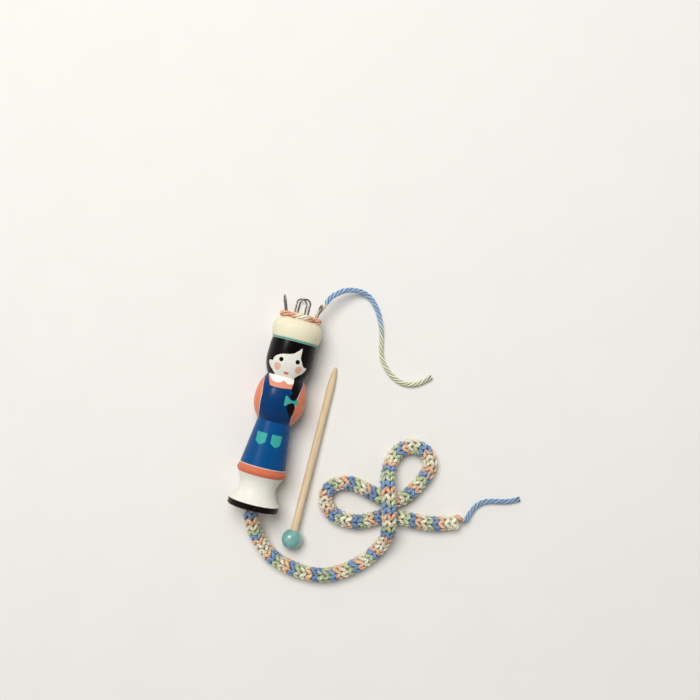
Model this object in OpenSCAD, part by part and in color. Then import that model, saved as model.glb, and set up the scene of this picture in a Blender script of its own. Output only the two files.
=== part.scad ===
// Knitting nancy: a turned and drilled wooden doll with four wire staples in its crown, the yarn that is
// on it, the knitted cord that comes out of its base, and the needle that lifts the loops.
// The doll lies on its back: Y runs along its axis from base to crown, Z points up out of its face,
// and the origin is the centre of the base face.

/* [Doll body] */
// Height of the dark rim at the base
rim_h = 3.4; // [2:0.1:6]
// Height of the waisted foot between rim and hem
foot_h = 15; // [10:0.5:22]
// Height of the rounded hem of the skirt
hem_h = 3.6; // [2.5:0.1:6]
// Height of the skirt's cone
skirt_h = 25.4; // [18:0.2:34]
// Height from the waist up to the widest part of the torso
belly_h = 11.6; // [8:0.2:16]
// Height from the widest part of the torso up to the neck
chest_h = 13; // [9:0.2:18]
// Height from the neck up to the widest part of the head
jaw_h = 10; // [7:0.2:14]
// Height from the widest part of the head up to the crown
brow_h = 9.5; // [6:0.2:13]
// Height from the head up to the widest part of the crown
crown_low_h = 6.1; // [4:0.1:9]
// Height from the widest part of the crown up to its flat top
crown_high_h = 5.8; // [4:0.1:9]
// Diameter of the turned blank, which the rim and the torso keep
blank_d = 27.6; // [24:0.1:32]
// Depth turned away at the thinnest part of the foot
foot_cut = 3.8; // [2:0.1:5]
// Depth turned away at the hem
hem_cut = 0.35; // [0:0.05:0.8]
// Depth turned away at the skirt, just above the hem
skirt_cut = 1.1; // [0.9:0.05:2.4]
// Depth turned away at the waist
waist_cut = 4.6; // [3:0.1:5.4]
// Depth turned away at the neck
neck_cut = 3.8; // [2.4:0.1:5]
// Depth turned away at the widest part of the head
head_cut = 1.1; // [0.2:0.1:2]
// Depth turned away where the head meets the crown
brow_cut = 1.6; // [1.2:0.1:3]
// Depth turned away at the widest part of the crown
crown_cut = 0.3; // [0:0.1:1]
// Depth turned away at the edge of the crown's flat top
crown_top_cut = 3.6; // [2:0.1:4]
// Radius of the rim's rounded edge
rim_edge = 0.6; // [0.2:0.1:1.2]
// Diameter of the bore through the doll
bore_d = 10.6; // [9.8:0.1:11.2]
// Chamfer at both mouths of the bore
bore_chamfer = 0.8; // [0.2:0.1:1]

/* [Staples] */
// Diameter of the staple wire
wire_d = 0.9; // [0.8:0.05:1.2]
// Distance between the two legs of a staple, centre to centre
staple_span = 5.5; // [5:0.1:5.9]
// Height of a staple's arch above the crown
staple_rise = 11.4; // [10:0.2:15]
// Depth of the legs in the wood, with their points
staple_depth = 9; // [6:0.5:14]
// Length of the point on each leg
leg_point = 2; // [1:0.1:3]
// Turn of the ring of staples about the axis
staple_turn = 12.5; // [5:0.5:20]
// How much less than the ring the front staple is turned
front_back = 5.5; // [0:0.5:8]
// How much less deep than the others the back staple is driven in
back_lift = 1.2; // [0:0.1:2]
// Outward lean of the front and back staples
staple_lean = 13; // [4:1:16]
// Outward lean of the right staple
right_lean = 9; // [4:1:16]
// Outward lean of the left staple
left_lean = 20; // [4:1:24]
// Radius of the bend where a leg leaves the wood
leg_bend_r = 2; // [1:0.1:3]
// Straight length of a leg above the wood, before its bend
leg_stub = 0.3; // [0.1:0.1:0.6]
// Gap round a leg in its drilled hole
leg_clear = 0.02; // [0.01:0.01:0.05]
// Extra diameter of the wire where it is bent
bend_swell = 0.03; // [0.02:0.01:0.05]

/* [Yarn] */
// Diameter of the yarn
yarn_d = 2.8; // [2.2:0.1:2.9]
// Diameter of the knitted cord
cord_d = 9; // [8:0.1:9.2]
// Gap that the yarn keeps from wood, wire and other yarn
yarn_gap = 0.1; // [0.05:0.05:0.2]

/* [Needle] */
// Length of the needle over its knob
needle_l = 102; // [80:1:130]
// Diameter of the needle's shaft
shaft_d = 4.1; // [3.4:0.1:5]
// Length of the tapered end
taper_l = 12; // [8:1:20]
// Radius of the rounded tip
tip_r = 0.9; // [0.6:0.1:1.4]
// Diameter of the knob
bead_d = 11.3; // [9:0.1:14]
// Diameter of the small flat round the knob's hole
bead_flat_d = 5.6; // [5.2:0.1:6.6]
// Depth of the shaft in the knob
shaft_seat = 7; // [5:0.2:8]
// Gap for glue round the shaft in the knob
glue_gap = 0.03; // [0.02:0.01:0.06]
// Distance of the needle from the doll's axis
needle_x = 24.5; // [22:0.5:28]
// Place of the knob along the doll
needle_y = -12.4; // [-16:0.1:-10]

/* [Hidden] */
$fn = 64;

// Heights along the doll, from the base face
hem_y = rim_h + foot_h;
skirt_y = hem_y + hem_h;
waist_y = skirt_y + skirt_h;
belly_y = waist_y + belly_h;
neck_y = belly_y + chest_h;
head_y = neck_y + jaw_h;
brow_y = head_y + brow_h;
crown_y = brow_y + crown_low_h;
body_h = crown_y + crown_high_h;

// Diameters of the turned doll
foot_d = blank_d - 2 * foot_cut;
hem_d = blank_d - 2 * hem_cut;
skirt_d = blank_d - 2 * skirt_cut;
waist_d = blank_d - 2 * waist_cut;
neck_d = blank_d - 2 * neck_cut;
head_d = blank_d - 2 * head_cut;
brow_d = blank_d - 2 * brow_cut;
crown_d = blank_d - 2 * crown_cut;
crown_top_d = blank_d - 2 * crown_top_cut;

// The staples stand in the middle of the wall between the bore and the crown's edge
staple_ring_r = (bore_d + crown_top_d) / 4;
// The table that the doll lies on, below its axis
table_z = -blank_d / 2;
// Room that a cut takes past a face
cut = 1;
// How far straight wire runs into a bend
wire_lap = 0.05;
// How square the turned swellings are: 2 is a parabola, more is fuller
fullness = 2.2;
// Points on each turned curve
turn_steps = 9;

// Angles of the staples about the axis, from the face towards the doll's left hand
front_turn = staple_turn - front_back;
right_turn = staple_turn + 90;
back_turn = staple_turn + 180;
left_turn = staple_turn + 270;

// Half of a turned swelling, from its narrow end to its widest height
function swell(narrow_r, narrow_y, wide_r, wide_y) = [
  for (i = [0 : turn_steps])
    let (u = 1 - i / turn_steps)
    [narrow_r + (wide_r - narrow_r) * (1 - pow(u, fullness)), wide_y + (narrow_y - wide_y) * u]
];
// A bow between two points of the outline, standing out by bulge at its middle
function bow(a, b, bulge) = [
  for (i = [0 : turn_steps])
    let (t = i / turn_steps)
    a + (b - a) * t + [4 * bulge * t * (1 - t), 0]
];
function reversed(list) = [for (i = [len(list) - 1 : -1 : 0]) list[i]];

// Radius where the hem meets the foot, a little inside the skirt
hem_foot_r = skirt_d / 2 - 0.1;
foot_bulge = foot_d / 2 - (blank_d / 2 + hem_foot_r) / 2;
hem_bulge = hem_d / 2 - (hem_foot_r + skirt_d / 2) / 2;

// Outline of the turned doll, as radius and height
doll_outline = concat(
  [[0, 0], [blank_d / 2 - rim_edge, 0]],
  swell(blank_d / 2 - rim_edge, 0, blank_d / 2, rim_edge),
  bow([blank_d / 2, rim_h], [hem_foot_r, hem_y], foot_bulge),
  bow([hem_foot_r, hem_y], [skirt_d / 2, skirt_y], hem_bulge),
  swell(waist_d / 2, waist_y, blank_d / 2, belly_y),
  reversed(swell(neck_d / 2, neck_y, blank_d / 2, belly_y)),
  swell(neck_d / 2, neck_y, head_d / 2, head_y),
  reversed(swell(brow_d / 2, brow_y, head_d / 2, head_y)),
  swell(brow_d / 2, brow_y, crown_d / 2, crown_y),
  reversed(swell(crown_top_d / 2, body_h, crown_d / 2, crown_y)),
  [[0, body_h]]
);

// Turns what is built upright, face to -Y, onto its back
module laid_down() {
  rotate([-90, 0, 0]) children();
}

// Puts a staple that stands at the origin, facing -Y, at its place in the crown
module in_crown(turn) {
  rotate([0, 0, turn]) translate([0, -staple_ring_r, body_h]) children();
}

// The two holes for a staple's legs
module leg_holes(lift) {
  depth = staple_depth - lift;
  for (side = [-1, 1])
    translate([side * staple_span / 2, 0, -depth])
      cylinder(d = wire_d + 2 * leg_clear, h = depth + cut);
}

module doll_body() {
  color("royalblue") laid_down() difference() {
    rotate_extrude() polygon(doll_outline);
    translate([0, 0, -cut]) cylinder(d = bore_d, h = body_h + 2 * cut);
    translate([0, 0, -cut])
      cylinder(d1 = bore_d + 2 * (bore_chamfer + cut), d2 = bore_d, h = bore_chamfer + cut);
    translate([0, 0, body_h - bore_chamfer])
      cylinder(d1 = bore_d, d2 = bore_d + 2 * (bore_chamfer + cut), h = bore_chamfer + cut);
    for (turn = [front_turn, right_turn, left_turn])
      in_crown(turn) leg_holes(0);
    in_crown(back_turn) leg_holes(back_lift);
  }
}

// A staple: pointed legs down in the wood, a bend outwards, and an arch. The straight pieces run a little
// way into the bent ones, which are a hair thicker.
module staple(lean, lift) {
  depth = staple_depth - lift;
  bend_top = leg_stub + leg_bend_r * sin(lean);
  bend_out = leg_bend_r * (1 - cos(lean));
  leg_up = (staple_rise + lift - bend_top) / cos(lean) - staple_span / 2 - wire_d / 2;
  for (side = [-1, 1]) {
    translate([side * staple_span / 2, 0, leg_point - depth])
      cylinder(d = wire_d, h = depth - leg_point + leg_stub + wire_lap);
    translate([side * staple_span / 2, 0, -depth])
      cylinder(d1 = wire_d / 4, d2 = wire_d, h = leg_point);
    translate([side * staple_span / 2, -leg_bend_r, leg_stub])
      rotate([90, 0, 90]) rotate_extrude(angle = lean)
        translate([leg_bend_r, 0]) circle(d = wire_d + bend_swell);
    translate([side * staple_span / 2, -bend_out, bend_top])
      rotate([lean, 0, 0]) translate([0, 0, -wire_lap]) cylinder(d = wire_d, h = leg_up + 2 * wire_lap);
  }
  translate([0, -bend_out, bend_top]) rotate([lean, 0, 0])
    translate([0, 0, leg_up]) rotate([90, 0, 0])
      rotate_extrude(angle = 180) translate([staple_span / 2, 0]) circle(d = wire_d + bend_swell);
}

module staple_front() { color("dimgray") laid_down() in_crown(front_turn) staple(staple_lean, 0); }
module staple_right() { color("dimgray") laid_down() in_crown(right_turn) staple(right_lean, 0); }
module staple_back() { color("dimgray") laid_down() in_crown(back_turn) staple(staple_lean, back_lift); }
module staple_left() { color("dimgray") laid_down() in_crown(left_turn) staple(left_lean, 0); }

function unit(v) = v / norm(v);
function heading(path, i) = unit(path[min(i + 1, len(path) - 1)] - path[max(i - 1, 0)]);
// A side direction at each point of a path, carried along it without twist
function sides(path) = [
  for (
    i = 0, s = unit(cross(heading(path, 0), [0.31, 0.17, 0.94]));
    i < len(path);
    i = i + 1, h = i < len(path) ? heading(path, i) : [0, 0, 1], s = unit(s - h * (s * h))
  ) s
];
// A smooth path through the points, with one more point between each two
function smoothed(points) = [
  for (i = [0 : 2 * len(points) - 2])
    let (k = floor(i / 2), last = len(points) - 1)
    i % 2 == 0 ? points[k] :
      (9 * (points[k] + points[k + 1]) - points[max(k - 1, 0)] - points[min(k + 2, last)]) / 16
];

// A tube of triangles along a path, closed at both ends
module tube(path, d, n) {
  side_list = sides(path);
  points = [
    for (i = [0 : len(path) - 1])
      let (s = side_list[i], b = cross(heading(path, i), s))
      for (j = [0 : n - 1]) path[i] + d / 2 * (cos(360 * j / n) * s + sin(360 * j / n) * b)
  ];
  end = (len(path) - 1) * n;
  walls = [
    for (i = [0 : len(path) - 2], j = [0 : n - 1])
      let (a = i * n + j, b = i * n + (j + 1) % n)
      for (face = [[a, a + n, b], [b, a + n, b + n]]) face
  ];
  start_cap = [for (j = [1 : n - 2]) [0, j, j + 1]];
  end_cap = [for (j = [1 : n - 2]) [end, end + j + 1, end + j]];
  polyhedron(points = points, faces = concat(walls, start_cap, end_cap), convexity = 10);
}

// A point by a staple, in the laid-down doll: along the staple, outwards from it, and above the crown
function by_staple(turn, along, out, up) = [
  sin(turn) * (staple_ring_r + out) + cos(turn) * along,
  body_h + up,
  cos(turn) * (staple_ring_r + out) - sin(turn) * along
];

// A stitch runs from the knitted cord out round both legs of its staple and back again
loop_r = wire_d / 2 + yarn_gap + yarn_d / 2;
loop_up = yarn_d / 2 + yarn_gap;
loop_steps = 5;
stitch_end_r = cord_d / 2 + yarn_d / 4;
stitch_end = stitch_end_r * [sin(22.5), cos(22.5)] - [0, staple_ring_r];
// How far out a leaning leg is at the height of the loop
function leg_out(lean) =
  leg_bend_r * (1 - cos(lean)) + (loop_up - leg_stub - leg_bend_r * sin(lean)) * tan(lean);
// One half of a stitch, from the cord to the middle of its loop, as a path along and outwards
function half_stitch(lean) =
  let (
    leg = [staple_span / 2, leg_out(lean)],
    r = loop_r / cos(lean),
    to_end = stitch_end - leg,
    start = atan2(to_end.y, to_end.x) + acos(r / norm(to_end))
  )
  concat(
    [stitch_end],
    [for (i = [0 : loop_steps]) let (a = start + (90 - start) * i / loop_steps) leg + r * [cos(a), sin(a)]]
  );
module stitch(turn, lean) {
  right_half = half_stitch(lean);
  left_half = [for (p = reversed(right_half)) [-p.x, p.y]];
  tube([for (p = concat(right_half, left_half)) by_staple(turn, p.x, p.y, loop_up)], yarn_d, 8);
}

module stitch_front() { color("wheat") stitch(front_turn, staple_lean); }
module stitch_right() { color("salmon") stitch(right_turn, right_lean); }
module stitch_back() { color("lightgreen") stitch(back_turn, staple_lean); }
module stitch_left() { color("salmon") stitch(left_turn, left_lean); }

// Route of the knitted cord outside the doll: x, y, and height of its middle above the table in cord
// diameters, where 0.5 lies on the table and about 1.6 lies over another stretch
cord_lay = [
  [1.5, -7.5, 1.35], [6, -15, 0.85], [14.5, -23.5, 0.52], [26, -27.5, 0.5], [36.5, -28.5, 0.5],
  [47, -27, 0.5], [55.5, -22.5, 0.5], [63, -16.5, 0.5], [69.5, -9, 0.56], [73, -0.5, 1],
  [73.5, 8, 1.5], [71, 17, 1.64], [68.3, 26, 1.5], [66.5, 34, 0.92], [66.5, 41, 0.54],
  [69.5, 48, 0.5], [75.6, 52.2, 0.5], [82.7, 51.4, 0.5], [87.3, 46.7, 0.5], [87.1, 39.7, 0.5],
  [83.3, 31.5, 0.5], [79.2, 25.3, 0.5], [74.5, 21.8, 0.5], [66.5, 21.2, 0.5], [58, 23, 0.5],
  [49.5, 24.5, 0.5], [42, 23, 0.5], [37, 18, 0.5], [37, 11.5, 0.5], [42, 6.5, 0.5],
  [49.5, 4.5, 0.5], [58, 5.5, 0.5], [65.5, 9.5, 0.5], [72.5, 12.2, 0.5], [80, 13, 0.5],
  [87, 13.2, 0.5], [94.5, 13.8, 0.5], [102.5, 15.8, 0.5], [112, 19.5, 0.5]
];
// In the bore the cord hangs on the axis at the crown and lies on the wood lower down
cord_drop = (bore_d - cord_d) / 2 - 2 * yarn_gap;
cord_top = 1.2;
cord_straight = 3;
cord_bore = [[0, body_h + cord_top, 0], [0, neck_y, -cord_drop / 2], [0, skirt_y, -cord_drop]];
cord_mouth = [[0, rim_h, -cord_drop], [0, -cord_straight, -cord_drop]];
cord_free = concat(cord_mouth, [for (p = cord_lay) [p.x, p.y, table_z + p.z * cord_d]]);
module knitted_cord() {
  color("lightsteelblue") tube(concat(cord_bore, smoothed(cord_free)), cord_d, 12);
}

// Height of yarn that lies on the table
yarn_rest = table_z + yarn_d / 2 + yarn_gap;
// Route of the working yarn: x, way past the crown's top, and height from 0 on the table to 1 at the doll's
// axis. It starts in the right stitch, rises along the right staple, out through its arch, and comes down.
yarn_lay = [
  [6.8, 1.8, 0.865], [7.2, 3.2, 0.86], [7.9, 4.7, 0.855], [8.6, 6.3, 0.85], [9.6, 8.1, 0.845],
  [10.6, 9.5, 0.84], [11.2, 11.1, 0.835], [11.5, 13.2, 0.825], [13, 16.4, 0.79], [15.6, 19.2, 0.71],
  [18.9, 21.8, 0.59], [23.5, 23.6, 0.37], [29.5, 23.9, 0.14], [34.5, 21.6, 0.01], [38.5, 17.4, 0],
  [42, 11.4, 0], [44.4, 5.1, 0], [45.8, -1.4, 0], [47.7, -7.8, 0], [51.4, -13, 0],
  [56.5, -17, 0], [63, -19.1, 0], [69, -18, 0], [73.5, -15, 0], [77, -11.8, 0]
];
module working_yarn() {
  color("cornflowerblue")
    tube([for (p = yarn_lay) [p.x, body_h + p.y, yarn_rest * (1 - p.z)]], yarn_d, 8);
}

// Route of the tail: x, y, and height from 0 on the table to 1 at the middle of the cord's far end
cord_end = cord_free[len(cord_free) - 1];
cord_end_way = heading(smoothed(cord_free), 2 * len(cord_free) - 2);
tail_lay = [
  [114.7, 22.6, 0.55], [115.9, 25.4, 0.2], [117.3, 28, 0.02], [119.1, 30.3, 0], [121.6, 32.2, 0],
  [125, 33.5, 0], [130, 34.6, 0], [135, 36, 0], [140, 38.6, 0]
];
tail_path = concat(
  [cord_end + yarn_gap * cord_end_way, cord_end + yarn_d * cord_end_way / 2],
  [for (p = tail_lay) [p.x, p.y, yarn_rest + p.z * (cord_end.z - yarn_rest)]]
);
module cord_tail() {
  color("cornflowerblue") tube(tail_path, yarn_d, 8);
}

// The needle lies on its knob and on the shoulder of its taper, so it slopes down to the tip
shoulder_reach = needle_l - bead_d / 2 - taper_l;
needle_slope = asin((bead_d - shaft_d) / 2 / shoulder_reach);
bead_flat_z = sqrt(pow(bead_d / 2, 2) - pow(bead_flat_d / 2, 2));
seat_z = bead_flat_z - shaft_seat;
shaft_outline = concat(
  [[0, seat_z + glue_gap], [shaft_d / 2, seat_z + glue_gap]],
  reversed(swell(tip_r, shoulder_reach + taper_l - tip_r, shaft_d / 2, shoulder_reach)),
  [
    for (a = [15 : 15 : 90])
      [tip_r * cos(a), shoulder_reach + taper_l - tip_r + tip_r * sin(a)]
  ]
);

// Lays what is built along Z, with the knob's centre at the origin, at the needle's place
module at_needle() {
  translate([needle_x, needle_y, table_z + bead_d / 2]) rotate([-90 - needle_slope, 0, 0]) children();
}

module needle_shaft() {
  color("burlywood") at_needle() rotate_extrude() polygon(shaft_outline);
}

module needle_bead() {
  color("mediumaquamarine") at_needle() difference() {
    sphere(d = bead_d);
    translate([0, 0, bead_flat_z]) cylinder(d = bead_d, h = bead_d);
    translate([0, 0, seat_z]) cylinder(d = shaft_d + 2 * glue_gap, h = bead_d);
  }
}

doll_body();
staple_front();
staple_right();
staple_back();
staple_left();
stitch_front();
stitch_right();
stitch_back();
stitch_left();
knitted_cord();
working_yarn();
cord_tail();
needle_shaft();
needle_bead();
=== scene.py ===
"""A knitting nancy: a painted wooden doll on its back, its staples, yarn, knitted cord and needle."""
import math
import random

import bpy
import numpy as np
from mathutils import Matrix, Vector


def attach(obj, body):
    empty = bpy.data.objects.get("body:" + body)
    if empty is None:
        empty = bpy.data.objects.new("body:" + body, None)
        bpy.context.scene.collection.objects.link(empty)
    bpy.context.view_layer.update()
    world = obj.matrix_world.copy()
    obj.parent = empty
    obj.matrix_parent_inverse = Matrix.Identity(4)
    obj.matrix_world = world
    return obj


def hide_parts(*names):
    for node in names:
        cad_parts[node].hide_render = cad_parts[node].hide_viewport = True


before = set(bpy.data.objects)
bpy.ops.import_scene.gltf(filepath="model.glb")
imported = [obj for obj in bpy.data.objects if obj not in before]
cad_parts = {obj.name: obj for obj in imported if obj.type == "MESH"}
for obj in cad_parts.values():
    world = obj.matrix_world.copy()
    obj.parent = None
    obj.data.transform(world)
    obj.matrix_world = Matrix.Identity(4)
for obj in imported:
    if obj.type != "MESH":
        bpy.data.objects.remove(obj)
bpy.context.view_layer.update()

MM = 0.001

# Sizes of the doll, in mm, along its axis from the base
BODY_H = 103.4
NECK_Y = 72
SKIRT_Y = 22
RIM_H = 3.4
TABLE_Z = -13.8

# Sizes of yarn, cord and staples, in mm
YARN_D = 2.8
YARN_GAP = 0.1
CORD_D = 9
BORE_D = 10.6
WIRE_D = 0.9
STAPLE_SPAN = 5.5
STAPLE_RING_R = 7.75
# Turn about the axis and outward lean of each staple, in degrees
STAPLES = {"front": (7, 13), "right": (102.5, 9), "back": (192.5, 13), "left": (282.5, 20)}
LEG_BEND_R = 2
LEG_STUB = 0.3

# Route of the knitted cord outside the doll: x, y, and height above the table in cord diameters
CORD_LAY = [
    (1.5, -7.5, 1.35), (6, -15, 0.85), (14.5, -23.5, 0.52), (26, -27.5, 0.5), (36.5, -28.5, 0.5),
    (47, -27, 0.5), (55.5, -22.5, 0.5), (63, -16.5, 0.5), (69.5, -9, 0.56), (73, -0.5, 1),
    (73.5, 8, 1.5), (71, 17, 1.64), (68.3, 26, 1.5), (66.5, 34, 0.92), (66.5, 41, 0.54),
    (69.5, 48, 0.5), (75.6, 52.2, 0.5), (82.7, 51.4, 0.5), (87.3, 46.7, 0.5), (87.1, 39.7, 0.5),
    (83.3, 31.5, 0.5), (79.2, 25.3, 0.5), (74.5, 21.8, 0.5), (66.5, 21.2, 0.5), (58, 23, 0.5),
    (49.5, 24.5, 0.5), (42, 23, 0.5), (37, 18, 0.5), (37, 11.5, 0.5), (42, 6.5, 0.5),
    (49.5, 4.5, 0.5), (58, 5.5, 0.5), (65.5, 9.5, 0.5), (72.5, 12.2, 0.5), (80, 13, 0.5),
    (87, 13.2, 0.5), (94.5, 13.8, 0.5), (102.5, 15.8, 0.5), (112, 19.5, 0.5),
]
# Route of the working yarn: x, way past the crown, and height from 0 on the table to 1 at the doll's axis
YARN_LAY = [
    (6.8, 1.8, 0.865), (7.2, 3.2, 0.86), (7.9, 4.7, 0.855), (8.6, 6.3, 0.85), (9.6, 8.1, 0.845),
    (10.6, 9.5, 0.84), (11.2, 11.1, 0.835), (11.5, 13.2, 0.825), (13, 16.4, 0.79), (15.6, 19.2, 0.71),
    (18.9, 21.8, 0.59), (23.5, 23.6, 0.37), (29.5, 23.9, 0.14), (34.5, 21.6, 0.01), (38.5, 17.4, 0),
    (42, 11.4, 0), (44.4, 5.1, 0), (45.8, -1.4, 0), (47.7, -7.8, 0), (51.4, -13, 0),
    (56.5, -17, 0), (63, -19.1, 0), (69, -18, 0), (73.5, -15, 0), (77, -11.8, 0),
]
# Route of the tail: x, y, and height from 0 on the table to 1 at the middle of the cord's end
TAIL_LAY = [
    (114.7, 22.6, 0.55), (115.9, 25.4, 0.2), (117.3, 28, 0.02), (119.1, 30.3, 0), (121.6, 32.2, 0),
    (125, 33.5, 0), (130, 34.6, 0), (135, 36, 0), (140, 38.6, 0),
]

# Colours of the yarn, as they look in daylight. The knit's blue and green are darker copies of the free
# yarn's blue and green, with the shade inside the knit painted in.
BLUE_YARN = "A5C5E8"
KNIT_SHADED_BLUE_YARN = "82A2CB"
DULL_BLUE_YARN = "97B5D4"
SALMON_YARN = "FFC8A2"
CREAM_YARN = "FFF2D2"
ORANGE_YARN = "F5B48E"
GREEN_YARN = "EEF2CE"
KNIT_SHADED_GREEN_YARN = "CDD8AA"


def linear(code):
    """A colour written as six hex digits, as linear red, green and blue."""
    values = [int(code[i:i + 2], 16) / 255 for i in (0, 2, 4)]
    return tuple(v / 12.92 if v <= 0.04045 else ((v + 0.055) / 1.055) ** 2.4 for v in values)


# Camera: straight above, a little tilted, as the photograph was taken
PICTURE_TURN = 14.2
CAMERA_AT = (34.5, 76.4, 486.2)
CAMERA_TILT = 2.2
CAMERA_LENS = 46.5
CAMERA_SENSOR = 36


def make_camera():
    data = bpy.data.cameras.new("camera")
    data.lens = CAMERA_LENS
    data.sensor_width = CAMERA_SENSOR
    camera = bpy.data.objects.new("camera", data)
    camera.location = Vector(CAMERA_AT) * MM
    camera.rotation_euler = (math.radians(CAMERA_TILT), 0, math.radians(PICTURE_TURN))
    bpy.context.scene.collection.objects.link(camera)
    bpy.context.scene.camera = camera


def smoothed(points, rounds):
    """A smooth line through the points: each round puts one more point between each two."""
    line = np.array(points, float)
    for _ in range(rounds):
        before = np.vstack([line[:1], line[:-2]])
        after = np.vstack([line[2:], line[-1:]])
        middles = (9 * (line[:-1] + line[1:]) - before - after) / 16
        woven = np.empty((2 * len(line) - 1, 3))
        woven[0::2] = line
        woven[1::2] = middles
        line = woven
    return line


def lengths_along(line):
    """The way along a line at each of its points."""
    return np.concatenate([[0], np.cumsum(np.linalg.norm(np.diff(line, axis=0), axis=1))])


def spaced(line, step):
    """The same line with points at even steps."""
    way = lengths_along(line)
    stops = np.linspace(0, way[-1], max(2, int(round(way[-1] / step)) + 1))
    return np.column_stack([np.interp(stops, way, line[:, k]) for k in range(3)])


# A direction that no line here starts along
SIDE_START = (0.31, 0.17, 0.94)


def frames_along(line):
    """Two side directions at each point of a line, carried along it without twist."""
    headings = np.gradient(line, axis=0)
    headings /= np.linalg.norm(headings, axis=1)[:, None]
    side = np.cross(headings[0], SIDE_START)
    sides = np.empty_like(line)
    for i, heading in enumerate(headings):
        side = side - heading * side.dot(heading)
        side /= np.linalg.norm(side)
        sides[i] = side
    return sides, np.cross(headings, sides)


class Guide:
    """A line that other lines are laid round."""

    def __init__(self, line):
        self.line = line
        self.way = lengths_along(line)
        self.length = self.way[-1]
        self.sides, self.tops = frames_along(line)

    def at(self, way, angle, radius):
        """Points at these ways along the line, off it by a radius, at an angle round it."""
        def read(values):
            return np.column_stack([np.interp(way, self.way, values[:, k]) for k in range(3)])
        across = np.cos(angle)[:, None] * read(self.sides) + np.sin(angle)[:, None] * read(self.tops)
        return read(self.line) + np.asarray(radius)[..., None] * across


def strand(line, radius, sides):
    """Points and faces of a tube along a line, with one radius or one for each point of the line."""
    side, top = frames_along(line)
    turns = 2 * math.pi * np.arange(sides) / sides
    ring = np.cos(turns)[None, :, None] * side[:, None] + np.sin(turns)[None, :, None] * top[:, None]
    points = line[:, None] + np.reshape(radius, (-1, 1, 1)) * ring
    rings = len(line)
    start = np.arange(rings - 1)[:, None] * sides
    here = np.arange(sides)[None, :]
    after = (here + 1) % sides
    quads = np.stack([start + here, start + after, start + sides + after, start + sides + here], axis=-1)
    return points.reshape(-1, 3), quads.reshape(-1, 4)


def yarn_object(name, lines, radius, sides, lay, colours, shade):
    """One piece of yarn made of strands. Each strand carries a colour, darkened with painted shade by where
    its points are, and two maps: one that runs along and round the strand, and one that folds the strands
    into rows of one square."""
    points, quads, tints, along = [], [], [], []
    count = 0
    for line, colour in zip(lines, colours):
        p, q = strand(line, radius, sides)
        points.append(p)
        quads.append(q + count)
        count += len(p)
        tints.append(np.repeat(colour, sides, axis=0) * shade(p, sides))
        along.append(lengths_along(line))
    mesh = bpy.data.meshes.new(name)
    all_points = np.vstack(points) * MM
    all_quads = np.vstack(quads)
    ends = []
    first = 0
    for line in lines:
        last = first + (len(line) - 1) * sides
        ends.append(list(range(first + sides - 1, first - 1, -1)))
        ends.append(list(range(last, last + sides)))
        first += len(line) * sides
    mesh.from_pydata(all_points.tolist(), [], all_quads.tolist() + ends)
    mesh.polygons.foreach_set("use_smooth", np.ones(len(mesh.polygons), bool))
    tint = mesh.color_attributes.new("tint", "FLOAT_COLOR", "POINT")
    flat = np.ones((count, 4), np.float32)
    flat[:, :3] = np.vstack(tints)
    tint.data.foreach_set("color", flat.ravel())
    map_strands(mesh, lines, along, sides, lay)
    piece = bpy.data.objects.new(name, mesh)
    bpy.context.scene.collection.objects.link(piece)
    return piece


def painted_groove_shade(middle, reach, deep, full, dark):
    """Painted shade on the points of a strand, by how far they are from a middle line: dark up to one share
    of the reach, and full light from another."""
    def shade(points, sides):
        def each(value):
            return np.repeat(np.broadcast_to(value, len(middle)), sides)
        off = np.linalg.norm(points - np.repeat(middle, sides, axis=0), axis=1) / each(reach)
        share = np.clip((off - deep) / (full - deep), 0, 1)
        return (share * (1 - each(dark)) + each(dark))[:, None]
    return shade


# Share of a row of the folded map that is left free along each of its two edges
ROW_EDGE = 0.04


def map_strands(mesh, lines, along, sides, lay):
    """The two maps of a piece of yarn."""
    segments = sum(len(line) - 1 for line in lines)
    girth = math.pi * YARN_D / 2
    total = sum(way[-1] for way in along)
    rows = max(1, int(round(math.sqrt(total / girth))))
    per_row = -(-segments // rows)
    row_width = 1 - 2 * ROW_EDGE
    turn = np.arange(sides)[None, :] / sides
    twist_map, bake_map = [], []
    done = 0
    for line, way in zip(lines, along):
        n = len(line) - 1
        near = np.repeat(way[:-1, None] / lay, sides, 1)
        far = np.repeat(way[1:, None] / lay, sides, 1)
        low = np.repeat(turn, n, 0)
        high = low + 1 / sides
        twist_map.append(np.stack([near, low, near, high, far, high, far, low], -1).reshape(-1, 2))
        index = done + np.arange(n)[:, None]
        u0 = np.repeat(index % per_row / per_row, sides, 1)
        u1 = u0 + 1 / per_row
        v0 = (index // per_row + ROW_EDGE + row_width * low) / rows
        v1 = (index // per_row + ROW_EDGE + row_width * high) / rows
        bake_map.append(np.stack([u0, v0, u0, v1, u1, v1, u1, v0], -1).reshape(-1, 2))
        done += n
    ends = np.zeros((2 * len(lines) * sides, 2))
    for name, parts in (("OFBake", bake_map), ("twist", twist_map)):
        layer = mesh.uv_layers.new(name=name)
        layer.data.foreach_set("uv", np.vstack(parts + [ends]).astype(np.float32).ravel())


# The knit: four stitches a row, each with two legs that show as a V on the outside
WALES = 4
ROW_PITCH = 3.2
KNIT_YARN_R = 1.25
KNIT_PLY_R = 0.61
KNIT_PLY_SHADES = [0.86, 1.1, 1.05]
KNIT_TWIST = 5.2
# Way along a ply from one of its threads to the next
KNIT_THREAD_LAY = 1.8
LEG_R = CORD_D / 2 - KNIT_YARN_R
HEAD_R = 1.65
LOOP_RISE = 0.64 * ROW_PITCH
LOOP_SWAY = 0.28 * 2 * math.pi / WALES
POINTS_PER_STITCH = 12
KNIT_SIDES = 6
KNIT_SEED = 5
# How much the sway, the rise and the radius vary from stitch to stitch
SWAY_SPREAD = 0.14
RISE_SPREAD = 0.08
RADIUS_SPREAD = 0.035
# Length at the far end over which the cord is drawn together, and how nearly it is closed there
END_ROUND = 3
END_CLOSED = 0.9
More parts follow.
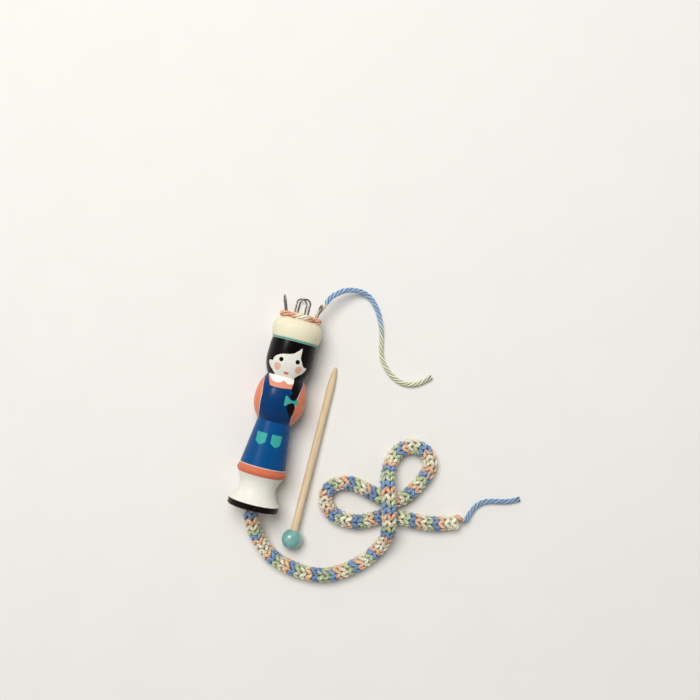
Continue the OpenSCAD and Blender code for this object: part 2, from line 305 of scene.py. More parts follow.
# Painted shade in the gaps of the knit: shares of the cord's radius where the gaps are dark and where the
# dark ends, and how light the dark is. Over so many rows next to an end this shade gets so much lighter.
KNIT_PAINTED_SHADE = (0.6, 0.84, 0.02)
END_ROWS = 2
END_LIGHTER = 0.8
# The yarn is dyed in runs that take so much of the cord each. They come in this order, and the order turns
# round after so many runs, where the last run comes twice. One such turn is at this way along the cord from
# its crown end.
# the knit's blue and green runs are darker copies of the yarn's colours, with painted shade
DYE_ORDER = [CREAM_YARN, SALMON_YARN, KNIT_SHADED_BLUE_YARN, KNIT_SHADED_GREEN_YARN]
DYE_RUN = 3.21
RUNS_TO_TURN = 12
DYE_TURN = 129.4
# Where the cord crosses under itself near its end, so many runs are missing
DYE_SKIP_AT = 404
DYE_SKIP = 1.4
# Share of a run over which its colour comes in, how far its start wanders, and how dark or light it may be
DYE_FADE = 0.16
DYE_WANDER = 0.15
DYE_SHADES = (0.9, 1.1)
DYE_SEED = 11


def uneven(number, spread, chance):
    """A factor near 1 that wanders from stitch to stitch."""
    knots = np.arange(math.floor(number[0]), math.ceil(number[-1]) + 1)
    return np.interp(number, knots, [chance.uniform(1 - spread, 1 + spread) for _ in knots])


def knit_line(guide, first, last):
    """The yarn's line in the knit from one stitch to another, the cord's middle beside each of its points,
    and the stitch number there."""
    chance = random.Random(KNIT_SEED)
    number = np.linspace(first, last, (last - first) * POINTS_PER_STITCH + 1)
    t = 2 * math.pi * number
    angle = t / WALES + LOOP_SWAY * uneven(number, SWAY_SPREAD, chance) * np.sin(2 * t)
    way = ROW_PITCH * number / WALES - LOOP_RISE * uneven(number, RISE_SPREAD, chance) * np.cos(t)
    way = np.clip(way, 0, guide.length)
    radius = (LEG_R + HEAD_R) / 2 - (LEG_R - HEAD_R) / 2 * np.cos(2 * t)
    radius *= uneven(number, RADIUS_SPREAD, chance)
    to_end = np.clip((guide.length - way) / END_ROUND, 0, 1)
    radius *= np.sqrt(1 - (1 - to_end) ** 2 * END_CLOSED)
    return guide.at(way, angle, radius), guide.at(way, angle, 0), number


def knit_colours(number):
    """The colour of the knit's yarn at each stitch number."""
    chance = random.Random(DYE_SEED)
    way = number * ROW_PITCH / WALES
    run = (way - DYE_TURN) / DYE_RUN + DYE_SKIP * (way > DYE_SKIP_AT)
    stops, shades = [], []
    for k in range(math.floor(run[0]) - 2, math.ceil(run[-1]) + 2):
        place = k % (2 * RUNS_TO_TURN)
        place = min(place, 2 * RUNS_TO_TURN - 1 - place)
        stops.append(k + chance.uniform(-DYE_WANDER, DYE_WANDER))
        dye = np.array(linear(DYE_ORDER[place % len(DYE_ORDER)]))
        shades.append(dye * chance.uniform(*DYE_SHADES))
    stops, shades = np.array(stops), np.array(shades)
    index = np.searchsorted(stops, run, side="right") - 1
    fade = np.clip((run - stops[index]) / DYE_FADE, 0, 1)[:, None]
    return shades[index - 1] * (1 - fade) + shades[index] * fade


# How far above the crown the cord starts, how far inside the base its free piece starts, and how far it
# comes straight out of the base
CORD_START = 1.2
FREE_START = 10
CORD_LEAD = 3
CORD_STEP = 0.4


def cord_guide():
    """The middle line of the knitted cord, from the crown down the bore and along the table, and how far it
    lies below the doll's axis at the base."""
    drop = (BORE_D - CORD_D) / 2 - 2 * YARN_GAP
    bore = [(0, BODY_H + CORD_START, 0), (0, NECK_Y, -drop / 2), (0, SKIRT_Y, -drop)]
    mouth = [(0, RIM_H, -drop), (0, -CORD_LEAD, -drop)]
    free = mouth + [(x, y, TABLE_Z + up * CORD_D) for x, y, up in CORD_LAY]
    line = np.vstack([bore, smoothed(free, rounds=4)])
    return Guide(spaced(line, CORD_STEP)), drop


def plied_lines(guide, plies, reach, twist):
    """The lines of the plies of a yarn, twisted to the left round its middle line."""
    return [
        guide.at(guide.way, -2 * math.pi * (guide.way / twist + k / plies), reach)
        for k in range(plies)
    ]


# The plies of the free yarns and the stitches, and how light each of them is
PLY_R = 0.6
PLY_SHADES = [0.86, 1.04, 0.92, 1.07]
PLY_SIDES = 10
YARN_TWIST = 11.8
YARN_STEP = 0.5
THREAD_LAY = 1.6
# Painted shade in the yarn's grooves: shares of its radius where the grooves are dark and where the dark
# ends, and how light the dark is
FREE_YARN_PAINTED_SHADE = (0.7, 0.92, 0.1)
STITCH_PAINTED_SHADE = (0.66, 0.84, 0.15)
# Length at a bare end over which the plies come apart, and how much they thin and spread there
FRAY = 4
FRAY_THIN = 0.35
FRAY_SPREAD = 0.25


def plied_yarn(name, line, tint_at, thickness, painted_shade, frayed=False):
    """A piece of plied yarn along a line, with painted shade in its grooves. Colour and thickness go by the
    share of the way along it.
    """
    guide = Guide(spaced(line, YARN_STEP))
    share = guide.way / guide.length
    size = np.interp(share, *zip(*thickness))
    apart = np.clip((guide.way - guide.length) / FRAY + 1, 0, 1) if frayed else 0 * share
    ply_r = PLY_R * size * (1 - FRAY_THIN * apart)
    reach = (YARN_D / 2 - PLY_R) * size * (1 + FRAY_SPREAD * apart)
    lines = plied_lines(guide, len(PLY_SHADES), reach, YARN_TWIST)
    colours = [np.array([tint_at(w) for w in share]) * shade for shade in PLY_SHADES]
    # painted shade in the grooves between the plies
    shade = painted_groove_shade(guide.line, YARN_D / 2 * size, *painted_shade)
    return yarn_object(name, lines, ply_r, PLY_SIDES, THREAD_LAY, colours, shade)


def blended(stops):
    """A colour that goes from one stop to the next: each stop is a place from 0 to 1 and a colour."""
    places = [place for place, _ in stops]
    colours = np.array([linear(code) for _, code in stops])
    return lambda w: np.array([np.interp(w, places, colours[:, k]) for k in range(3)])


# Angle about the bore from the middle of a stitch to its ends, and points in the bend round one leg
STITCH_OPEN = 22.5
BEND_POINTS = 6


def half_stitch(lean):
    """Half of a stitch, from the cord to the middle of its loop, along and outwards from its staple."""
    loop_r = WIRE_D / 2 + YARN_GAP + YARN_D / 2
    loop_up = YARN_D / 2 + YARN_GAP
    tilt = math.radians(lean)
    out = LEG_BEND_R * (1 - math.cos(tilt))
    out += (loop_up - LEG_STUB - LEG_BEND_R * math.sin(tilt)) * math.tan(tilt)
    leg = np.array([STAPLE_SPAN / 2, out])
    end_r = CORD_D / 2 + YARN_D / 4
    open_angle = math.radians(STITCH_OPEN)
    end = end_r * np.array([math.sin(open_angle), math.cos(open_angle)]) - [0, STAPLE_RING_R]
    r = loop_r / math.cos(tilt)
    to_end = end - leg
    start = math.atan2(to_end[1], to_end[0]) + math.acos(r / np.linalg.norm(to_end))
    steps = np.linspace(start, math.pi / 2, BEND_POINTS)
    return [end] + [leg + r * np.array([math.cos(a), math.sin(a)]) for a in steps]


# The ends of a stitch go down into the bore, to this share of their way from its axis, so far below its top
STITCH_SINK = 0.68
STITCH_DEPTH = 1.6


def stitch_line(turn, lean):
    """The middle line of the stitch round one staple."""
    right = half_stitch(lean)
    left = [(-x, y) for x, y in reversed(right)]
    up = YARN_D / 2 + YARN_GAP
    a = math.radians(turn)
    loop = [
        (
            math.sin(a) * (STAPLE_RING_R + out) + math.cos(a) * along,
            BODY_H + up,
            math.cos(a) * (STAPLE_RING_R + out) - math.sin(a) * along,
        )
        for along, out in right + left[1:]
    ]
    ends = [(x * STITCH_SINK, BODY_H - STITCH_DEPTH, z * STITCH_SINK) for x, _, z in (loop[0], loop[-1])]
    return smoothed([ends[0]] + loop + [ends[1]], rounds=2)


# How far the square of a drawn curve reaches past the curve
CURVE_MARGIN = 0.01


def grey(value):
    return (value, value, value)


class Nodes:
    """Short calls for building one material's nodes."""

    def __init__(self, name):
        self.material = bpy.data.materials.new(name)
        self.material.use_nodes = True
        self.tree = self.material.node_tree
        self.shader = self.tree.nodes["Principled BSDF"]

    def new(self, kind, inputs, output=0, **settings):
        node = self.tree.nodes.new(kind)
        for key, value in settings.items():
            setattr(node, key, value)
        for key, value in inputs.items():
            self.feed(node.inputs[key], value)
        return node.outputs[output]

    def feed(self, socket, value):
        if isinstance(value, bpy.types.NodeSocket):
            self.tree.links.new(value, socket)
        elif isinstance(value, tuple) and len(value) == 3 and socket.type == "RGBA":
            socket.default_value = (*value, 1)
        else:
            socket.default_value = value

    def set(self, **values):
        """Sets or links sockets of the shader, named with _ for a space."""
        for key, value in values.items():
            self.feed(self.shader.inputs[key.replace("_", " ")], value)

    def math(self, operation, *values):
        return self.new("ShaderNodeMath", dict(enumerate(values)), operation=operation)

    def add(self, *values):
        total = values[0]
        for value in values[1:]:
            total = self.math("ADD", total, value)
        return total

    def times(self, a, b):
        return self.math("MULTIPLY", a, b)

    def minus(self, a, b):
        return self.math("SUBTRACT", a, b)

    def least(self, *values):
        found = values[0]
        for value in values[1:]:
            found = self.math("MINIMUM", found, value)
        return found

    def step(self, value, low, high):
        """0 up to low and 1 from high, smooth between. Where low is above high, it falls from 1 to 0."""
        inputs = {"Value": value, "From Min": low, "From Max": high}
        return self.new("ShaderNodeMapRange", inputs, interpolation_type="SMOOTHSTEP")

    def mix(self, factor, a, b, blend="MIX"):
        inputs = {0: factor, 6: a, 7: b}
        return self.new("ShaderNodeMix", inputs, 2, data_type="RGBA", blend_type=blend)

    def place(self):
        return self.new("ShaderNodeTexCoord", {}, "Object")

    def parts(self, vector):
        node = self.tree.nodes.new("ShaderNodeSeparateXYZ")
        self.tree.links.new(vector, node.inputs[0])
        return node.outputs[0], node.outputs[1], node.outputs[2]

    def noise(self, vector, scale, detail=3, rough=0.5):
        inputs = {"Vector": vector, "Scale": scale, "Detail": detail, "Roughness": rough}
        return self.new("ShaderNodeTexNoise", inputs, "Fac")

    def streaks(self, vector, scale, detail=3, rough=0.5):
        """Noise that is drawn out one way, because it has a scale of its own along x, y and z."""
        stretched = self.new("ShaderNodeMapping", {"Vector": vector, "Scale": scale})
        return self.noise(stretched, 1, detail, rough)

    def bump(self, height, strength, distance):
        inputs = {"Height": height, "Strength": strength, "Distance": distance}
        self.set(Normal=self.new("ShaderNodeBump", inputs))

    def curve(self, x, points, handle):
        """A drawn curve through the points."""
        xs = [p[0] for p in points]
        ys = [p[1] for p in points]
        low = min(ys) - CURVE_MARGIN
        high = max(ys) + CURVE_MARGIN
        span = xs[-1] - xs[0]
        node = self.tree.nodes.new("ShaderNodeFloatCurve")
        drawn = node.mapping.curves[0]
        while len(drawn.points) < len(points):
            drawn.points.new(0.5, 0.5)
        for dot, (px, py) in zip(drawn.points, points):
            dot.location = ((px - xs[0]) / span, (py - low) / (high - low))
            dot.handle_type = handle
        node.mapping.update()
        share = self.math("DIVIDE", self.minus(x, xs[0]), span)
        self.feed(node.inputs["Value"], share)
        return self.add(self.times(node.outputs[0], high - low), low)


# Paint on the doll: places are an angle round the axis from the face, in degrees, and a height in mm
FACE_TOP = [
    (-56, 77.6), (-54.4, 78.3), (-50, 79.1), (-42.5, 79), (-40.5, 79.3), (-37.5, 80.9), (-29.9, 82.3),
    (-16.6, 83.5), (0.6, 84.3), (9.1, 85), (15.8, 86.2), (21.3, 87.3), (27.6, 88.5), (28.1, 85),
    (29, 83.2), (34.4, 81.4), (40.9, 79.5), (46, 79), (50.8, 79), (54, 77.6),
]
FACE_BOTTOM = [
    (-56, 78), (-54, 77.5), (-48.8, 75.7), (-40.7, 74.2), (-33.5, 72.6), (-30, 71.9), (27, 71.9),
    (30.6, 72.5), (37.4, 74.2), (44.9, 75.4), (50.6, 76.9), (53, 78), (54, 78.2),
]
LIPS_TOP = [(-5.5, 74), (-5, 74.2), (-1, 74.75), (2, 74.55), (5, 74.75), (9.5, 74.1), (10, 73.9)]
LIPS_BOTTOM = [(-5.5, 74.3), (-5, 74.1), (2, 73.3), (9.5, 74), (10, 74.3)]
EYES = [(-17.2, 80.6), (23.4, 81.1)]
EYE_R = 1.2
# Cheeks also have a radius in mm and a strength
CHEEKS = [(-24.5, 76.7, 2.35, 0.85), (31.2, 77.1, 2.25, 0.95)]
CHEEK_EDGE = 0.5
COLLAR_TOP = [(-60, 71.7), (-57, 72.1), (30, 72.1), (33, 71.4)]
COLLAR_BOTTOM = [
    (-60, 72.2), (-58.7, 71.8), (-43.5, 70.5), (-33, 69.3), (-24.1, 68.5), (-17.2, 68.3), (-9.2, 68.5),
    (-2.7, 69.2), (2.4, 69.9), (8.7, 69.2), (15.6, 68.7), (23.1, 68.9), (28.6, 69.6), (33, 71.8),
]
YOKE_TOP = [(-58, 72), (-55, 72.2), (30, 72.2), (34, 72)]
YOKE_BOTTOM = [
    (-58, 72.4), (-55.7, 71.5), (-40.2, 68.9), (-32.3, 66.9), (-28.6, 66.1), (-12.8, 65.8), (1.4, 65.9),
    (15.5, 66.3), (25.7, 66.7), (30, 67.5), (34, 72.4),
]
# Sleeves and plait are drawn upright: a height, and the angle there. A sleeve goes so far to both sides of
# its middle, and has a pale edge of so many mm.
SLEEVE_AT = 90
SLEEVE_EDGE = 0.35
SLEEVE_HALF = [(47.4, 20), (50, 38), (54.2, 46), (59.5, 47), (64.8, 40), (70, 20), (71.8, 4)]
PLAIT_LEFT = [
    (51, 41.5), (51.6, 39), (53.6, 32.1), (55.8, 24.6), (57.7, 22.4), (59.2, 30.5), (60.4, 32),
    (61.6, 29.6), (63, 25.2), (64.7, 28.2), (66.3, 26), (67.8, 26.4), (69.8, 29.9), (72.4, 30.8),
]
PLAIT_RIGHT = [
    (51, 43), (51.6, 44), (53.3, 44.4), (55.3, 43.7), (57.9, 42.6), (59.2, 35.5), (60.4, 34),
    (61.4, 36), (62.6, 43), (65.2, 47.4), (67.5, 51.6), (69.4, 56.5), (72.4, 68),
]
BOW_TOP = [
    (14.5, 61.6), (15.6, 62.7), (24, 61.6), (31, 60.8), (35, 60.8), (40, 61.3), (46.5, 62), (48, 61),
]
BOW_BOTTOM = [
    (14.5, 62), (15.2, 58), (16.4, 57.4), (25, 58.7), (31, 59.5), (35, 59.6), (40, 59.2), (46.2, 58.6),
    (48, 61.3),
]
POCKETS = [
    (
        [(-41.9, 40.8), (-41.4, 41), (-7, 41), (-6.3, 40.9)],
        [(-41.9, 41.2), (-41.4, 40.6), (-37.5, 36.1), (-22.1, 34.4), (-6.7, 36.2), (-6.3, 41.2)],
    ),
    (
        [(7.6, 40.9), (8, 41.1), (40.5, 41), (41, 40.7)],
        [(7.6, 41.3), (8, 36.3), (24.4, 34.4), (38.2, 36.1), (41, 41.1)],
    ),
]
# The band between hair and crown, and the crown above it, each from its lower edge. The pale mint stripe
# at the top of the band is a painted highlight.
BAND = [(91.3, "7EACA2"), (91.85, "5E978A"), (92.35, "CBDFBC"), (92.9, "EAE2C3")]
WAIST_Y = 47.5
# The hem's pale line, the hem, the foot and the rim, each from its upper edge
FOOT = [(23.15, "DCC3B4"), (22.7, "D17151"), (18.3, "E9E6DA"), (RIM_H, "140C0A")]
# How long one degree round the axis is on the doll, in mm
MM_PER_DEGREE = 0.215
# How soft an edge of paint is to each side, and how far it wanders, in mm
PAINT_EDGE = 0.07
PAINT_WANDER = 0.16
# Where the rim's paint is worn and the bore is bare, as radii, and where the base is bare, as heights, in
# mm: each comes in from the first number to the second
WORN_RIM = (13.2, 13.7)
BARE_BORE = (5.95, 5.9)
BARE_BASE = (0.12, 0.02)
# Colours of the paint
BLACK_PAINT = "0B0706"
FACE_PAINT = "E4E2D5"
CHEEK_PAINT = "DFA692"
LIPS_PAINT = "C96F60"
DRESS_PAINT = "0A3868"
YOKE_PAINT = "DE9277"
COLLAR_PAINT = "F3EFE7"
SLEEVE_PAINT = "E0825F"
SLEEVE_EDGE_PAINT = "DCD9DA"
BOW_PAINT = "45A596"
SKIRT_PAINT = "0A4B82"
POCKET_PAINT = "3DA59B"


class Paint(Nodes):
    """The nodes of the doll's paint, with its own calls for painted shapes."""

    def __init__(self, name):
        super().__init__(name)
        place = self.place()
        wobble = self.noise(place, scale=900, detail=2)
        x, y, z = self.parts(place)
        angle = self.times(self.math("ARCTAN2", x, z), math.degrees(1))
        self.spot = place
        self.radius = self.times(self.math("SQRT", self.add(self.times(x, x), self.times(z, z))), 1 / MM)
        shift = self.times(self.minus(wobble, 0.5), PAINT_WANDER)
        self.height = self.add(self.times(y, 1 / MM), shift)
        self.angle = self.add(angle, self.times(shift, 1 / MM_PER_DEGREE))

    def inside(self, depth):
        """1 where the depth inside an edge, in mm, is above 0."""
        return self.step(depth, -PAINT_EDGE, PAINT_EDGE)

    def above(self, height):
        return self.inside(self.minus(self.height, height))

    def patch(self, bottom, top, handle="AUTO_CLAMPED"):
        """A shape between two curves that give a height for each angle."""
        over = self.minus(self.curve(self.angle, top, handle), self.height)
        under = self.minus(self.height, self.curve(self.angle, bottom, handle))
        return self.inside(self.least(over, under))

    def upright(self, left, right):
        """A shape between two curves that give an angle for each height."""
        low = self.minus(self.angle, self.curve(self.height, left, "AUTO_CLAMPED"))
        high = self.minus(self.curve(self.height, right, "AUTO_CLAMPED"), self.angle)
        ends = self.least(self.minus(self.height, left[0][0]), self.minus(left[-1][0], self.height))
        return self.inside(self.least(self.times(self.least(low, high), MM_PER_DEGREE), ends))

    def off_spot(self, angle, height):
        """Distance from a place on the doll, in mm."""
        across = self.times(self.minus(self.angle, angle), MM_PER_DEGREE)
        up = self.minus(self.height, height)
        return self.math("SQRT", self.add(self.times(across, across), self.times(up, up)))


def paint_head(paint, colour):
    """Hair, face and the band under the crown."""
    colour = paint.mix(paint.above(NECK_Y), colour, linear(BLACK_PAINT))
    colour = paint.mix(paint.patch(FACE_BOTTOM, FACE_TOP), colour, linear(FACE_PAINT))
    for angle, height, size, warmth in CHEEKS:
        blush = paint.step(paint.off_spot(angle, height), size, size - CHEEK_EDGE)
        colour = paint.mix(paint.times(blush, warmth), colour, linear(CHEEK_PAINT))
    for angle, height in EYES:
        eye = paint.inside(paint.minus(EYE_R, paint.off_spot(angle, height)))
        colour = paint.mix(eye, colour, linear(BLACK_PAINT))
    colour = paint.mix(paint.patch(LIPS_BOTTOM, LIPS_TOP), colour, linear(LIPS_PAINT))
    # the band's pale mint stripe is a painted highlight
    for edge, shade in BAND:
        colour = paint.mix(paint.above(edge), colour, linear(shade))
    return colour


def paint_torso(paint):
    """Dress, blouse, plait and bow."""
    colour = linear(DRESS_PAINT)
    colour = paint.mix(paint.patch(YOKE_BOTTOM, YOKE_TOP), colour, linear(YOKE_PAINT))
    colour = paint.mix(paint.patch(COLLAR_BOTTOM, COLLAR_TOP), colour, linear(COLLAR_PAINT))
    side = paint.math("ABSOLUTE", paint.minus(paint.math("ABSOLUTE", paint.angle), SLEEVE_AT))
    reach = paint.minus(paint.curve(paint.height, SLEEVE_HALF, "AUTO_CLAMPED"), side)
    reach = paint.times(reach, MM_PER_DEGREE)
    colour = paint.mix(paint.inside(paint.add(reach, SLEEVE_EDGE)), colour, linear(SLEEVE_EDGE_PAINT))
    colour = paint.mix(paint.inside(reach), colour, linear(SLEEVE_PAINT))
    colour = paint.mix(paint.upright(PLAIT_LEFT, PLAIT_RIGHT), colour, linear(BLACK_PAINT))
    return paint.mix(paint.patch(BOW_BOTTOM, BOW_TOP), colour, linear(BOW_PAINT))


def paint_skirt(paint, colour):
    """Skirt with its pockets, hem, foot and rim."""
    skirt = linear(SKIRT_PAINT)
    for top, bottom in POCKETS:
        skirt = paint.mix(paint.patch(bottom, top, "VECTOR"), skirt, linear(POCKET_PAINT))
    colour = paint.mix(paint.above(WAIST_Y), skirt, colour)
    for edge, shade in FOOT:
        colour = paint.mix(paint.above(edge), linear(shade), colour)
    return colour


def painted_wood():
    """Gloss paint, brushed by hand on turned wood. The bore and the base are bare."""
    paint = Paint("painted_wood")
    colour = paint_head(paint, paint_torso(paint))
    colour = paint_skirt(paint, colour)
    brush = paint.streaks(paint.spot, (700, 120, 700), detail=4, rough=0.6)
    colour = paint.mix(paint.step(brush, 0.25, 0.85), colour, grey(0.94), "MULTIPLY")
    specks = paint.step(paint.noise(paint.spot, scale=1500, detail=2), 0.72, 0.76)
    edge = paint.step(paint.radius, *WORN_RIM)
    worn = paint.times(paint.times(specks, edge), paint.minus(1, paint.above(RIM_H)))
    wood = wood_colour(paint, paint.spot, "D9BE93", "C19A66")
    in_bore = paint.step(paint.radius, *BARE_BORE)
    on_base = paint.step(paint.height, *BARE_BASE)
    bare = paint.math("MAXIMUM", in_bore, on_base)
    colour = paint.mix(worn, colour, linear("A98F74"))
    colour = paint.mix(bare, colour, wood)
    paint.set(Base_Color=colour, Specular_IOR_Level=0.13, Coat_Weight=0.03, Coat_Roughness=0.1)
    smear = paint.noise(paint.spot, scale=260)
    rough = paint.add(0.2, paint.times(smear, 0.14))
    paint.set(Roughness=paint.add(rough, paint.times(bare, 0.35)))
    rings = paint.streaks(paint.spot, (60, 1400, 60), detail=2)
    paint.bump(paint.add(rings, paint.times(brush, 0.8)), strength=0.18, distance=0.00012)
    return paint.material


def wood_colour(nodes, place, pale, dark):
    """Wood with its grain along the doll."""
    grain = nodes.streaks(place, (1500, 45, 1500), detail=4, rough=0.6)
    pores = nodes.streaks(place, (5200, 160, 5200), detail=2)
    colour = nodes.mix(nodes.step(grain, 0.3, 0.75), linear(pale), linear(dark))
    return nodes.mix(nodes.step(pores, 0.6, 0.8), colour, linear(dark))


def plain_wood():
    """Sanded pale wood of the needle."""
    nodes = Nodes("plain_wood")
    place = nodes.place()
    nodes.set(Base_Color=wood_colour(nodes, place, "E6D2AF", "D2B78C"))
    grain = nodes.streaks(place, (2600, 70, 2600), detail=4)
    nodes.set(Roughness=nodes.add(0.42, nodes.times(grain, 0.2)))
    nodes.bump(grain, strength=0.25, distance=0.0002)
    return nodes.material


def lacquer():
    """Turquoise lacquer of the knob."""
    nodes = Nodes("lacquered_wood")
    place = nodes.place()
    cloud = nodes.noise(place, scale=350, detail=4)
    colour = nodes.mix(nodes.step(cloud, 0.3, 0.7), linear("78B3AC"), linear("62A39B"))
    nodes.set(Base_Color=colour, Coat_Weight=1.0, Coat_IOR=2.2, Coat_Roughness=0.36)
    nodes.set(Roughness=nodes.add(0.12, nodes.times(cloud, 0.1)))
    nodes.bump(nodes.streaks(place, (900, 150, 900)), strength=0.15, distance=0.0001)
    return nodes.material


def steel_wire():
    """Drawn steel wire, a little dull."""
    nodes = Nodes("wire")
    place = nodes.place()
    dull = nodes.noise(place, scale=500, detail=4)
    drawn = nodes.streaks(place, (4000, 260, 4000), detail=2)
    nodes.set(Base_Color=nodes.mix(nodes.step(dull, 0.35, 0.7), linear("B4ACA4"), linear("857C74")))
    nodes.set(Metallic=1.0, Roughness=nodes.add(0.26, nodes.times(dull, 0.22)))
    nodes.bump(drawn, strength=0.2, distance=0.00008)
    return nodes.material


# Threads that each ply is twisted from
THREADS = 3


def yarn_material(name, painted_shade):
    """Cotton yarn: its own tint, with painted shade in the grooves between its twisted threads, and a soft
    sheen.
    """
    nodes = Nodes(name)
    tint = nodes.new("ShaderNodeVertexColor", {}, layer_name="tint")
    u, v, _ = nodes.parts(nodes.new("ShaderNodeUVMap", {}, uv_map="twist"))
    phase = nodes.times(nodes.add(nodes.times(v, THREADS), u), 2 * math.pi)
    ridge = nodes.add(nodes.times(nodes.math("SINE", phase), 0.5), 0.5)
    place = nodes.place()
    fibres = nodes.noise(place, scale=2600, rough=0.6)
    patches = nodes.noise(place, scale=240)
    # painted shade in the grooves between the threads
    shade = nodes.mix(nodes.step(ridge, 0, 0.6), grey(painted_shade), grey(1))
    shade = nodes.mix(nodes.step(fibres, 0.3, 0.7), grey(0.96), shade)
    colour = nodes.mix(1.0, tint, shade, "MULTIPLY")
    colour = nodes.mix(nodes.step(patches, 0.3, 0.8), colour, (0.96, 0.96, 0.97), "MULTIPLY")
    nodes.set(Base_Color=colour, Sheen_Weight=0.25, Sheen_Roughness=0.5)
    nodes.set(Roughness=nodes.add(0.72, nodes.times(fibres, 0.2)))
    nodes.bump(nodes.add(ridge, nodes.times(fibres, 0.7)), strength=0.6, distance=0.0002)
    return nodes.material


def dress(piece, material, body):
    """Gives a piece its material and the body that it rides on."""
    piece.data.materials.clear()
    piece.data.materials.append(material)
    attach(piece, body)


def make_cord(knit):
    """The knitted cord: one piece in the bore and one that lies free. Returns its middle line."""
    guide, drop = cord_guide()
    stitches = int((guide.length - LOOP_RISE) / ROW_PITCH * WALES)
    split = int((BODY_H + CORD_START - FREE_START) / ROW_PITCH * WALES)
    line, middle, number = knit_line(guide, 1, stitches)
    tints = knit_colours(number)
    lines = plied_lines(Guide(line), len(KNIT_PLY_SHADES), KNIT_YARN_R - KNIT_PLY_R, KNIT_TWIST)
    cut = (split - 1) * POINTS_PER_STITCH
    deep, full, dark = KNIT_PAINTED_SHADE
    for name, part in (("cord_in_bore", slice(0, cut + 1)), ("knitted_cord_free", slice(cut, None))):
        from_end = np.minimum(number[part] - 1, stitches - number[part])
        near_end = np.clip(1 - from_end / (END_ROWS * WALES), 0, 1)
        # painted shade in the gaps of the knit, lighter next to the ends
        shade = painted_groove_shade(middle[part], CORD_D / 2, deep, full, dark + END_LIGHTER * near_end)
        plies = [ply[part] for ply in lines]
        colours = [np.minimum(tints[part] * lightness, 1) for lightness in KNIT_PLY_SHADES]
        piece = yarn_object(name, plies, KNIT_PLY_R, KNIT_SIDES, KNIT_THREAD_LAY, colours, shade)
        dress(piece, knit, "doll")
        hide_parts("knitted_cord")
    return guide


def make_yarn(name, node, points, tint_at, thickness, material):
    """A free end of yarn along a route."""
    line = smoothed(points, rounds=3)
    piece = plied_yarn(name, line, tint_at, thickness, FREE_YARN_PAINTED_SHADE, frayed=True)
    dress(piece, material, "doll")
    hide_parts(node)


# Colour and thickness of the free yarns and the stitches: a share of the way along, and the value there
WORKING_TINTS = [
    (0, CREAM_YARN), (0.095, CREAM_YARN), (0.11, BLUE_YARN), (0.47, BLUE_YARN), (0.6, GREEN_YARN),
    (1, GREEN_YARN),
]
WORKING_SIZE = [(0, 0.62), (0.095, 0.62), (0.115, 1.05), (0.2, 1.12), (0.4, 1), (0.6, 0.92), (1, 0.95)]
TAIL_TINTS = [(0, SALMON_YARN), (0.03, DULL_BLUE_YARN), (1, DULL_BLUE_YARN)]
TAIL_SIZE = [(0, 1), (0.15, 1.05), (1, 1)]
STITCH_SIZE = [(0, 0.9), (0.28, 1.12), (0.72, 1.12), (1, 0.9)]
STITCH_TINTS = {
    "front": [
        (0, ORANGE_YARN), (0.37, ORANGE_YARN), (0.41, CREAM_YARN), (0.61, CREAM_YARN), (0.65, ORANGE_YARN),
        (1, ORANGE_YARN),
    ],
    "right": [(0, ORANGE_YARN), (1, ORANGE_YARN)],
    "back": [(0.13, GREEN_YARN), (0.5, CREAM_YARN)],
    "left": [(0.72, ORANGE_YARN), (0.87, CREAM_YARN)],
}


def make_free_yarns(guide, material):
    """The working yarn and the tail of the cord."""
    rest = TABLE_Z + YARN_D / 2 + YARN_GAP
    working = [(x, BODY_H + past, rest * (1 - up)) for x, past, up in YARN_LAY]
    tint = blended(WORKING_TINTS)
    make_yarn("working_yarn_plied", "working_yarn", working, tint, WORKING_SIZE, material)
    end = guide.line[-1]
    way = guide.line[-1] - guide.line[-2]
    way /= np.linalg.norm(way)
    tail = [tuple(end + YARN_GAP * way), tuple(end + YARN_D / 2 * way)]
    tail += [(x, y, rest + up * (end[2] - rest)) for x, y, up in TAIL_LAY]
    tint = blended(TAIL_TINTS)
    make_yarn("cord_tail_plied", "cord_tail", tail, tint, TAIL_SIZE, material)


def make_stitches(material):
    """The live loops of yarn round the staples."""
    for side, (turn, lean) in STAPLES.items():
        line = stitch_line(turn, lean)
        tint = blended(STITCH_TINTS[side])
        piece = plied_yarn(f"stitch_{side}_plied", line, tint, STITCH_SIZE, STITCH_PAINTED_SHADE)
        dress(piece, material, "doll")
        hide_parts(f"stitch_{side}")


def finish_cad_nodes():
    """Materials of the solids that stay as they are."""
    wire = steel_wire()
    finishes = {
        "doll_body": painted_wood(), "needle_shaft": plain_wood(), "needle_bead": lacquer(),
        "staple_front": wire, "staple_right": wire, "staple_back": wire, "staple_left": wire,
    }
    for name, material in finishes.items():
        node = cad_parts[name]
        node.data.materials.clear()
        node.data.materials.append(material)


# Size of the floor, and how far it lies below what rests on it, in metres
FLOOR_SIZE = 3
FLOOR_DROP = 0.0001


def make_floor():
    mesh = bpy.data.meshes.new("floor")
    half = FLOOR_SIZE / 2
    z = TABLE_Z * MM - FLOOR_DROP
    corners = [(-half, -half, z), (half, -half, z), (half, half, z), (-half, half, z)]
    mesh.from_pydata(corners, [], [(0, 1, 2, 3)])
    floor = bpy.data.objects.new("floor", mesh)
    bpy.context.scene.collection.objects.link(floor)
    nodes = Nodes("paper")
    cloud = nodes.noise(nodes.place(), scale=30)
    nodes.set(Base_Color=nodes.mix(cloud, linear("EDEAE4"), linear("E9E6E0")), Roughness=0.8)
    floor.data.materials.append(nodes.material)


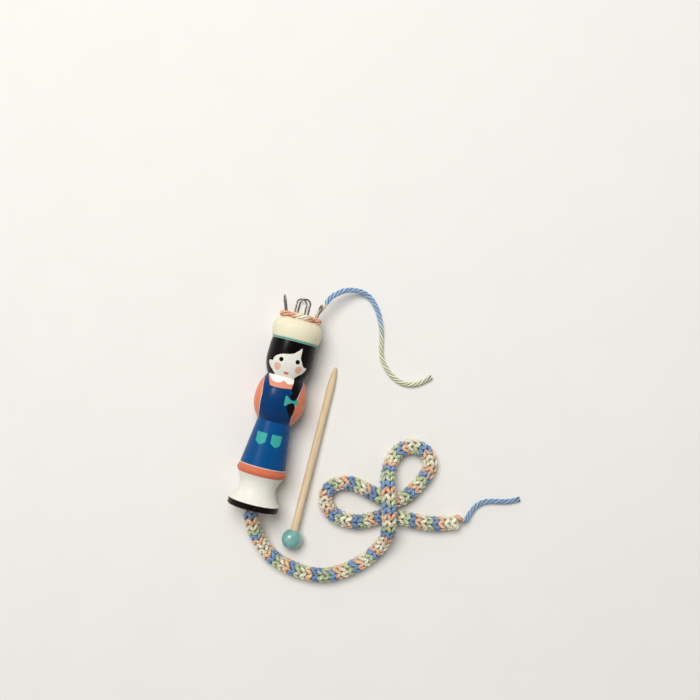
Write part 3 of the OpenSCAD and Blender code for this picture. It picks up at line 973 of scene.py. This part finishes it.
def make_light(name, at, aim, size, power, gloss):
    """A round soft light, that either lights the scene or is only mirrored in what is glossy."""
    data = bpy.data.lights.new(name, "AREA")
    data.shape = "DISK"
    data.size = size
    data.energy = power
    lamp = bpy.data.objects.new(name, data)
    lamp.location = Vector(at)
    lamp.visible_glossy = gloss
    lamp.visible_diffuse = not gloss
    lamp.rotation_euler = (Vector(aim) - Vector(at)).to_track_quat("-Z", "Y").to_euler()
    bpy.context.scene.collection.objects.link(lamp)


# World light. Its strength goes from that of the sides to that of the ceiling between two heights of the
# view's direction, and from the right share to the left share along one direction.
SKY_COLOUR = (0.98, 0.98, 1, 1)
SKY_HEIGHTS = (0.55, 0.95)
SIDES_TO_CEILING = (0.4, 0.12)
SKY_LEFT = (-0.92, 0.39, 0)
LEFT_REACH = (-0.9, 0.9)
RIGHT_TO_LEFT = (0.78, 1.22)


def ranged(tree, value, source, target, kind="LINEAR"):
    """A value that is turned from one range into another."""
    node = tree.nodes.new("ShaderNodeMapRange")
    node.interpolation_type = kind
    node.inputs["From Min"].default_value, node.inputs["From Max"].default_value = source
    node.inputs["To Min"].default_value, node.inputs["To Max"].default_value = target
    tree.links.new(value, node.inputs["Value"])
    return node.outputs[0]


def make_world():
    """Pale light all round, stronger on the left of the picture, under a dim ceiling."""
    world = bpy.data.worlds.new("studio")
    world.use_nodes = True
    tree = world.node_tree
    way = tree.nodes.new("ShaderNodeTexCoord").outputs["Generated"]
    split = tree.nodes.new("ShaderNodeSeparateXYZ")
    tree.links.new(way, split.inputs[0])
    leftness = tree.nodes.new("ShaderNodeVectorMath")
    leftness.operation = "DOT_PRODUCT"
    leftness.inputs[1].default_value = SKY_LEFT
    tree.links.new(way, leftness.inputs[0])
    strength = tree.nodes.new("ShaderNodeMath")
    strength.operation = "MULTIPLY"
    by_height = ranged(tree, split.outputs[2], SKY_HEIGHTS, SIDES_TO_CEILING, "SMOOTHSTEP")
    by_side = ranged(tree, leftness.outputs["Value"], LEFT_REACH, RIGHT_TO_LEFT)
    tree.links.new(by_height, strength.inputs[0])
    tree.links.new(by_side, strength.inputs[1])
    background = tree.nodes["Background"]
    tree.links.new(strength.outputs[0], background.inputs["Strength"])
    background.inputs["Color"].default_value = SKY_COLOUR
    bpy.context.scene.world = world


def make_studio():
    """A large soft light from the upper left of the picture, a window that only the gloss shows, and the
    world's light."""
    middle = (0.05, 0.04, 0)
    make_light("key", at=(-0.35, 0.6, 1.45), aim=middle, size=1.05, power=24.6, gloss=False)
    make_light("window", at=(-0.8, 0.55, 1.1), aim=middle, size=0.45, power=7.5, gloss=True)
    make_world()
    bpy.context.scene.view_settings.view_transform = "Standard"


make_camera()
knit_yarn = yarn_material("knit", painted_shade=0.94)
yarn = yarn_material("yarn", painted_shade=0.84)
cord = make_cord(knit_yarn)
make_free_yarns(cord, yarn)
make_stitches(yarn)
finish_cad_nodes()
make_floor()
make_studio()
